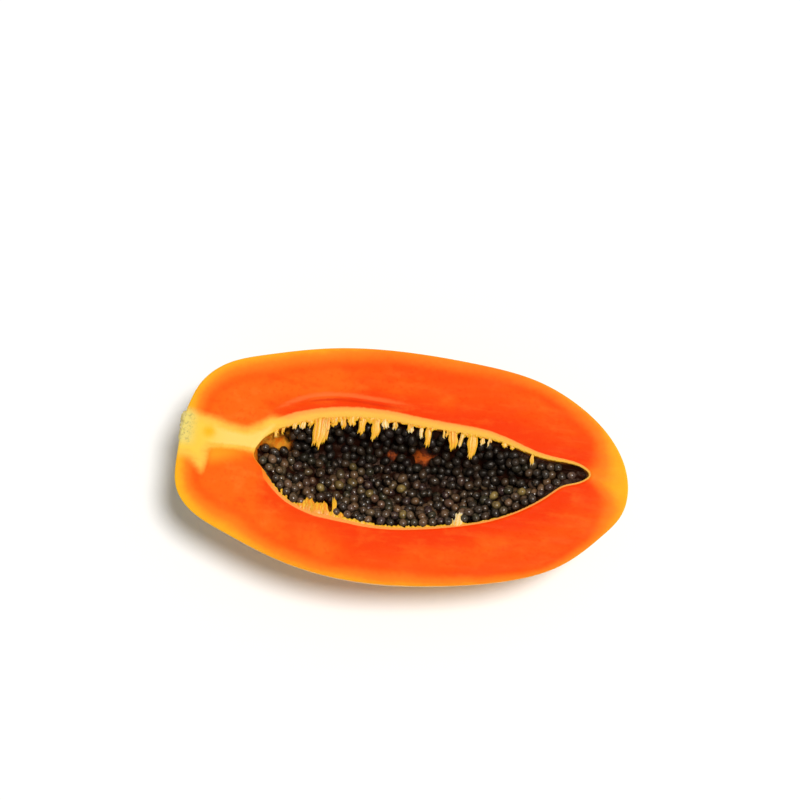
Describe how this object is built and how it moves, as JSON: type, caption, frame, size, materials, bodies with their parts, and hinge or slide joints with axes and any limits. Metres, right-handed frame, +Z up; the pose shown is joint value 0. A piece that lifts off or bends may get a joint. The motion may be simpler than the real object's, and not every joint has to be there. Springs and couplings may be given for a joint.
{
  "type": "papaya half",
  "caption": "Half a papaya, cut lengthwise and lying on its rounded skin, with orange flesh and a long hollow lined with glossy black seeds.",
  "frame": {"origin": "on the surface that the fruit lies on, under the centre of its outline", "axes": "+X along the fruit from the stem end to the blossom end, +Y across the cut face, +Z up, square to the cut face"},
  "size_m": [0.2088, 0.109, 0.0536],
  "materials": {
    "fruit": "satin",
    "seed": "satin"
  },
  "bodies": {
    "root": {"papaya_half": "fruit", "seeds": "seed"}
  },
  "joints": []
}
